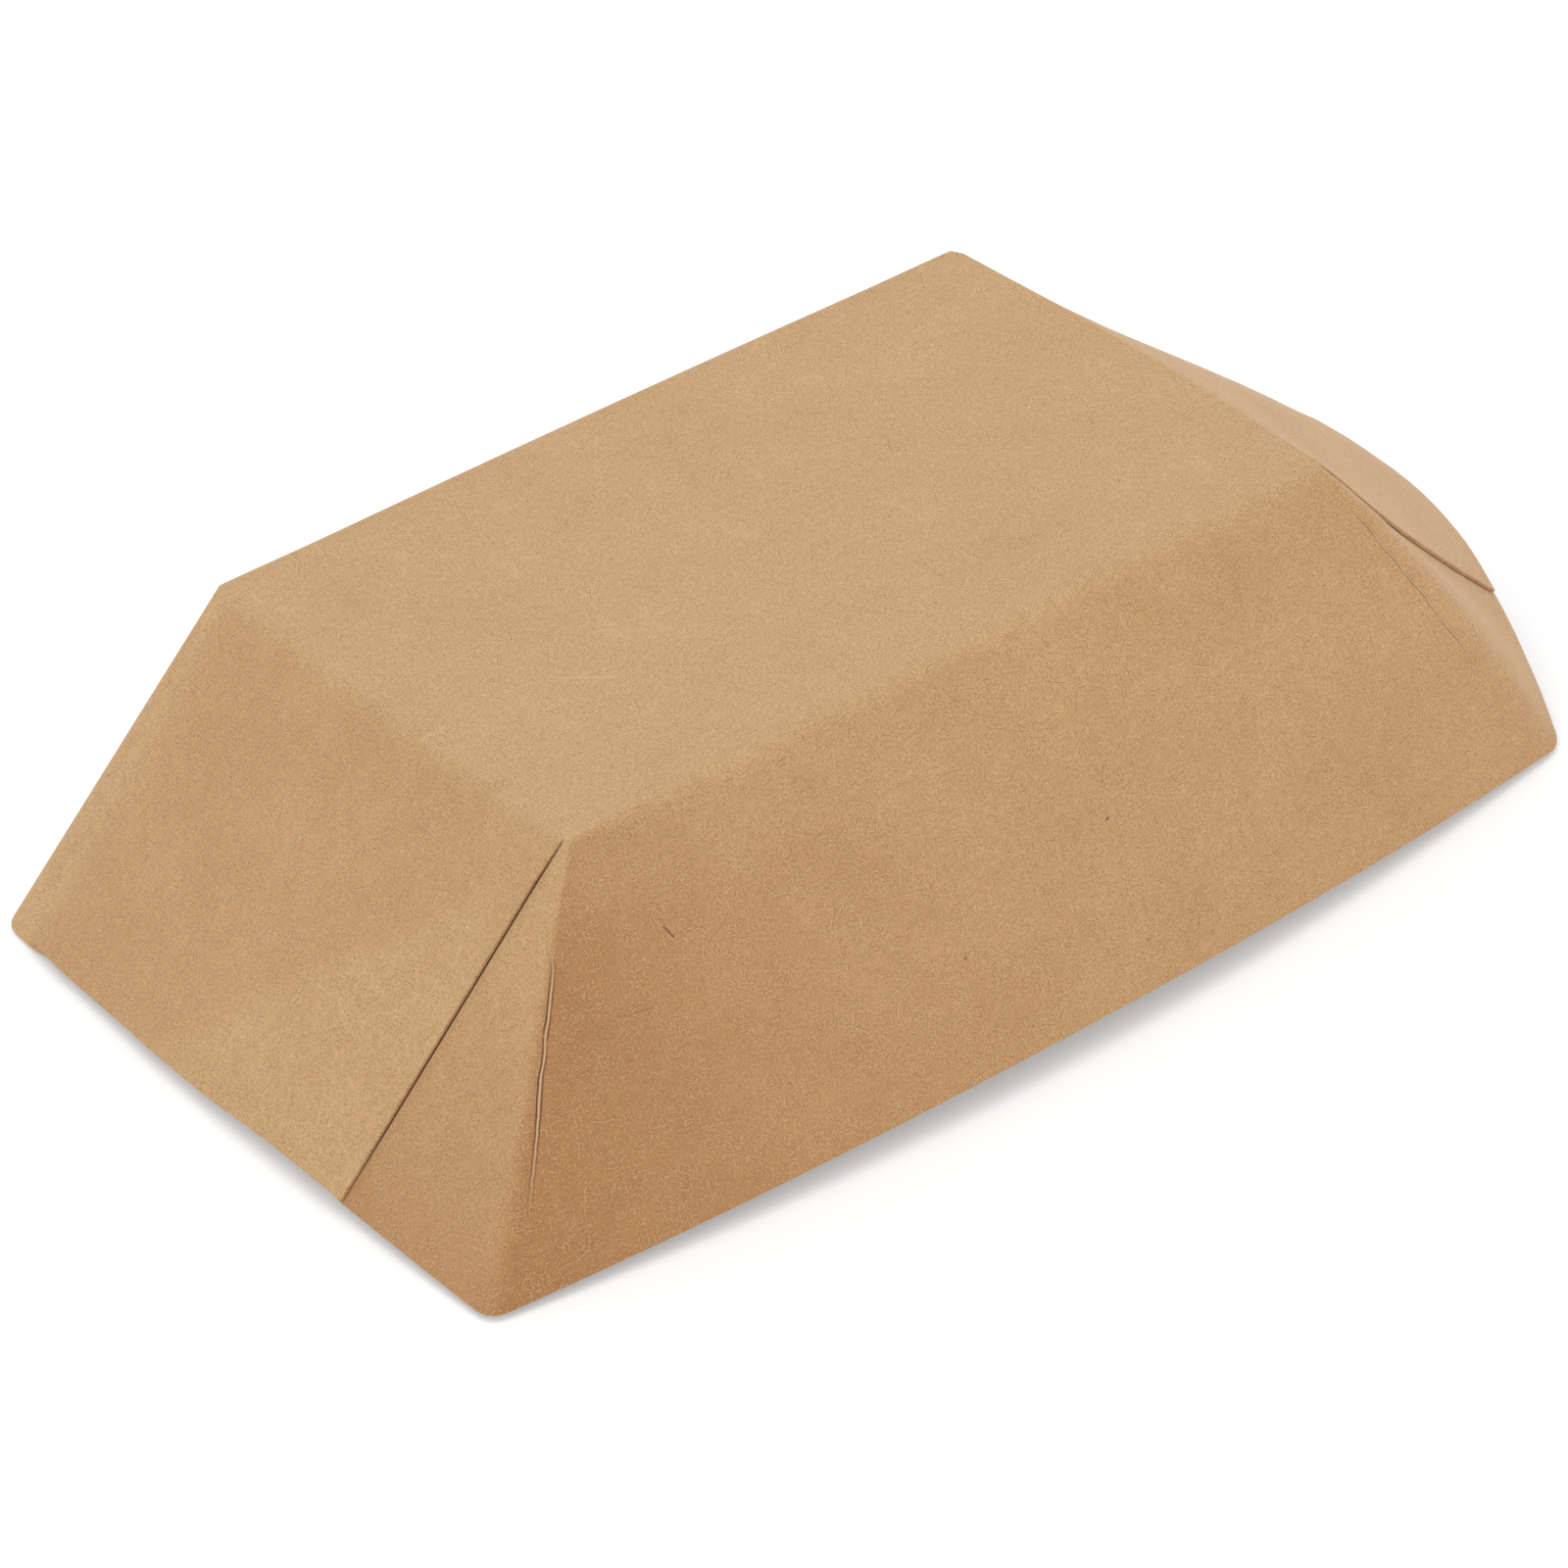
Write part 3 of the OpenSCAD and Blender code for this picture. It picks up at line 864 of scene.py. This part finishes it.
# the painted shadow line in each seam, with a painted highlight on its lip, in mm: the shift takes it out
# from under the flap
seamShadowLook = {
    "shift": 0.08,
    "gap": 0.26,
    "dark": {"left": 1.0, "right": 0.35},
    "line": {"from": 0.0, "fade": 0.02, "to": 1.05, "pale": 0.25, "width": 0.17},
    # a wider painted shadow where the right near seam gapes
    "gapShadowShift": 0.24,
    "gapShadowLine": {"from": 0.0, "fade": 0.05, "to": 0.6, "dark": 0.9, "width": 0.36},
}
for (end, side), (start, finish, beside) in seamFlat.items():
    if (end, side) == ("left", "far"):  # that seam lies closed
        continue
    line = (finish - start).normalized()
    turn = 1 if line.cross(beside - start) > 0 else -1
    aside = Vector((-line.y, line.x)) * turn
    shift = aside * seamShadowLook["shift"]
    # a painted shadow line along each open seam, with a painted highlight on its lip
    flatMarks[end + side.capitalize() + "Seam"] = {
        "start": start + shift, "end": finish + shift, "gap": seamShadowLook["gap"] * turn,
        "dark": seamShadowLook["dark"][end], **seamShadowLook["line"]}
    if (end, side) == ("right", "near"):
        shift = aside * seamShadowLook["gapShadowShift"]
        flatMarks["openSeam"] = {"start": start + shift, "end": finish + shift, **seamShadowLook["gapShadowLine"]}


def makeBoardMaterial(look):
    fibres = makeFibreGroup()
    paper = makePaperGroup(fibres)
    score = makeScoreGroup()
    material = bpy.data.materials.new("kraftBoard")
    material.use_nodes = True
    tree = material.node_tree
    shader = tree.nodes["Principled BSDF"]
    blank = addNode(tree, "ShaderNodeUVMap", uv_map="blank")
    place = addNode(tree, "ShaderNodeMapping", {"Vector": blank.outputs[0],
                                                "Location": (-blankRoom / 2, -blankRoom / 2, 0),
                                                "Scale": (blankRoom, blankRoom, 1)})
    place = place.outputs[0]
    surface = addNode(tree, "ShaderNodeGroup", node_tree=paper)
    tone = addNode(tree, "ShaderNodeAttribute", attribute_name="tone")
    for label, value in (("Place", place), ("Tone", tone.outputs["Fac"])):
        tree.links.new(value, surface.inputs[label])
    for label, key in (("Board", "board"), ("Wall Painted Light Tint", "wallTint"), ("Pale Fibre", "paleFibre"),
                       ("Dark Fibre", "darkFibre"), ("Pale Strength", "paleStrength"),
                       ("Dark Strength", "darkStrength"), ("Cloud", "cloud"), ("Grain", "grain")):
        surface.inputs[label].default_value = look[key]
    colour = surface.outputs["Color"]
    height = surface.outputs["Height"]

    def wander(size, low, high):
        node = addNode(tree, "ShaderNodeTexNoise", {"Vector": place, "Scale": 1 / size, "Detail": 2.0},
                       noise_dimensions="2D")
        return fade(tree, node.outputs[0], low, high)

    drift = calc(tree, "SUBTRACT", wander(*look["drift"]), 0.5)
    drift = calc(tree, "MULTIPLY", drift, look["driftWidth"])
    cracks = wander(*look["cracks"])
    for mark in flatMarks.values():
        line = addNode(tree, "ShaderNodeGroup", node_tree=score)
        tree.links.new(place, line.inputs["Place"])
        for label in ("Start", "End"):
            line.inputs[label].default_value = (*mark[label.lower()], 0)
        for label, value in (("Width", 0.1), ("Gap", 0.0), ("From", -0.3), ("To", 1.3), ("Fade", 0.15),
                             ("Second", 0.0)):
            line.inputs[label].default_value = mark.get(label.lower(), value)
        if "relief" in mark:
            tree.links.new(drift, line.inputs["Drift"])
            tree.links.new(cracks, line.inputs["Cracks"])
            raised = calc(tree, "SUBTRACT", line.outputs["Lip"],
                          calc(tree, "MULTIPLY", line.outputs["Groove"], look["grooveDepth"]))
            height = calc(tree, "ADD", height, calc(tree, "MULTIPLY", raised, mark["relief"]))
        # darker in the grooves, paler on the lips: painted shade and painted highlight for the creases and
        # seams, the marks' own colour for the specks, dots, fibre and streak
        for key, part in (("pale", "Lip"), ("dark", "Groove")):
            if key in mark:
                amount = calc(tree, "MULTIPLY", line.outputs[part], mark[key])
                colour = mixColours(tree, amount, colour, look[part.lower() + "Colour"])
    bump = addNode(tree, "ShaderNodeBump",
                   {"Strength": look["bump"], "Distance": look["bumpDepth"] * mm, "Height": height})
    tree.links.new(colour, shader.inputs["Base Color"])
    tree.links.new(surface.outputs["Roughness"], shader.inputs["Roughness"])
    tree.links.new(bump.outputs[0], shader.inputs["Normal"])
    shader.inputs["Specular IOR Level"].default_value = look["specular"]
    shader.inputs["Sheen Weight"].default_value = look["sheen"]
    shader.inputs["Sheen Roughness"].default_value = look["sheenRoughness"]
    return material


edgeFinish = {
    "leftFold": (0.06, 0.016, 0.002, 1),
    "leftRim": (0.28, 0.15, 0.06, 1),
    "rightFold": (0.14, 0.06, 0.015, 1),
    "rightRim": (0.4, 0.24, 0.11, 1),
    "paleFibre": (0.4, 0.25, 0.13, 1),
    "farPaintedHighlight": (0.66, 0.5, 0.32, 1),
    "strength": 0.18,
    "farRange": (10.0, 30.0),  # mm along y, then along x and z
    "rightRange": (0.0, 20.0),
    "highRange": (8.0, 36.0),
    "raggedScale": 2.4,
    "raggedRange": (0.4, 0.65),
    "bump": 0.5,
    "bumpDepth": 0.05,  # mm
    "roughness": 0.95,
    "specular": 0.2,
}


# the cut edge: its own dark brown, deepened by painted shade where it lies deep in a seam, lighter towards
# the rim, with a painted highlight on the far side
def makeEdgeMaterial(look):
    material = bpy.data.materials.new("cutEdge")
    material.use_nodes = True
    tree = material.node_tree
    shader = tree.nodes["Principled BSDF"]
    spot = addNode(tree, "ShaderNodeTexCoord")
    place = addNode(tree, "ShaderNodeVectorMath", {0: spot.outputs["Object"], 3: 1 / mm},
                    operation="SCALE")
    ragged = addNode(tree, "ShaderNodeTexNoise",
                     {"Vector": place.outputs[0], "Scale": look["raggedScale"], "Detail": 3.0})
    split = addNode(tree, "ShaderNodeSeparateXYZ", {0: place.outputs[0]})
    far = fade(tree, split.outputs[1], *look["farRange"])
    right = fade(tree, split.outputs[0], *look["rightRange"])
    high = fade(tree, split.outputs[2], *look["highRange"])
    # painted shade darkens the edge towards the fold, deep in the seams
    left = mixColours(tree, high, look["leftRim"], look["leftFold"])
    colour = mixColours(tree, right, left, mixColours(tree, high, look["rightRim"], look["rightFold"]))
    # a painted highlight on the far edges, which face the light
    colour = mixColours(tree, far, colour, look["farPaintedHighlight"])
    loose = fade(tree, ragged.outputs[0], *look["raggedRange"])
    colour = mixColours(tree, calc(tree, "MULTIPLY", loose, look["strength"]), colour, look["paleFibre"])
    bump = addNode(tree, "ShaderNodeBump",
                   {"Strength": look["bump"], "Distance": look["bumpDepth"] * mm,
                    "Height": ragged.outputs[0]})
    tree.links.new(colour, shader.inputs["Base Color"])
    tree.links.new(bump.outputs[0], shader.inputs["Normal"])
    shader.inputs["Roughness"].default_value = look["roughness"]
    shader.inputs["Specular IOR Level"].default_value = look["specular"]
    return material


tray.data.materials.clear()
tray.data.materials.append(makeBoardMaterial(kraftFinish))
tray.data.materials.append(makeEdgeMaterial(edgeFinish))
print("kraft board finished")
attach(tray, "root")
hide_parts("tray")

# floor and studio
studio = {
    "floorRadius": 3.0,
    "floorColour": (0.86, 0.86, 0.86),
    "floorGlow": 0.25,
    "skyLevel": 0.8,
    "lamps": {
        "topSoftbox": {"size": 1.2, "power": 3.0, "place": (0.1, 0.3, 1.2)},
        "frontSoftbox": {"size": 0.7, "power": 1.5, "place": (0.3, -1.1, 0.65)},
        "leftSoftbox": {"size": 0.7, "power": 0.8, "place": (-1.1, -0.1, 0.6)},
    },
}


def seenRay(tree):  # 1 where the eye, a reflection or clear material looks at it
    path = addNode(tree, "ShaderNodeLightPath")
    seen = calc(tree, "MAXIMUM", path.outputs["Is Camera Ray"], path.outputs["Is Glossy Ray"])
    return calc(tree, "MAXIMUM", seen, path.outputs["Is Transmission Ray"])


def makeStudio(look):
    bm = bmesh.new()
    bmesh.ops.create_circle(bm, cap_ends=True, segments=96, radius=look["floorRadius"])
    mesh = bpy.data.meshes.new("studioFloor")
    bm.to_mesh(mesh)
    bm.free()
    floor = bpy.data.objects.new("studioFloor", mesh)
    bpy.context.scene.collection.objects.link(floor)
    material = bpy.data.materials.new("studioFloor")
    material.use_nodes = True
    tree = material.node_tree
    shader = tree.nodes["Principled BSDF"]
    shader.inputs["Base Color"].default_value = (*look["floorColour"], 1)
    shader.inputs["Roughness"].default_value = 1.0
    shader.inputs["Specular IOR Level"].default_value = 0.0
    shader.inputs["Emission Color"].default_value = (1, 1, 1, 1)
    tree.links.new(calc(tree, "MULTIPLY", seenRay(tree), look["floorGlow"]),
                   shader.inputs["Emission Strength"])
    floor.data.materials.append(material)

    world = bpy.data.worlds.new("studioSky")
    bpy.context.scene.world = world
    world.use_nodes = True
    tree = world.node_tree
    sky = tree.nodes["Background"]
    level = addNode(tree, "ShaderNodeMapRange",
                    {"Value": seenRay(tree), "To Min": look["skyLevel"], "To Max": 1.0})
    tree.links.new(level.outputs["Result"], sky.inputs["Strength"])
    sky.inputs["Color"].default_value = (1, 1, 1, 1)

    for name, box in look["lamps"].items():
        lamp = bpy.data.lights.new(name, "AREA")
        lamp.shape = "DISK"
        lamp.size = box["size"]
        lamp.energy = box["power"]
        softbox = bpy.data.objects.new(name, lamp)
        softbox.location = box["place"]
        aim = Vector((0, 0, 0.02)) - softbox.location
        softbox.rotation_mode = "QUATERNION"
        softbox.rotation_quaternion = aim.to_track_quat("-Z", "Y")
        bpy.context.scene.collection.objects.link(softbox)


makeStudio(studio)
bpy.context.scene.view_settings.view_transform = "Standard"
print("studio lit")
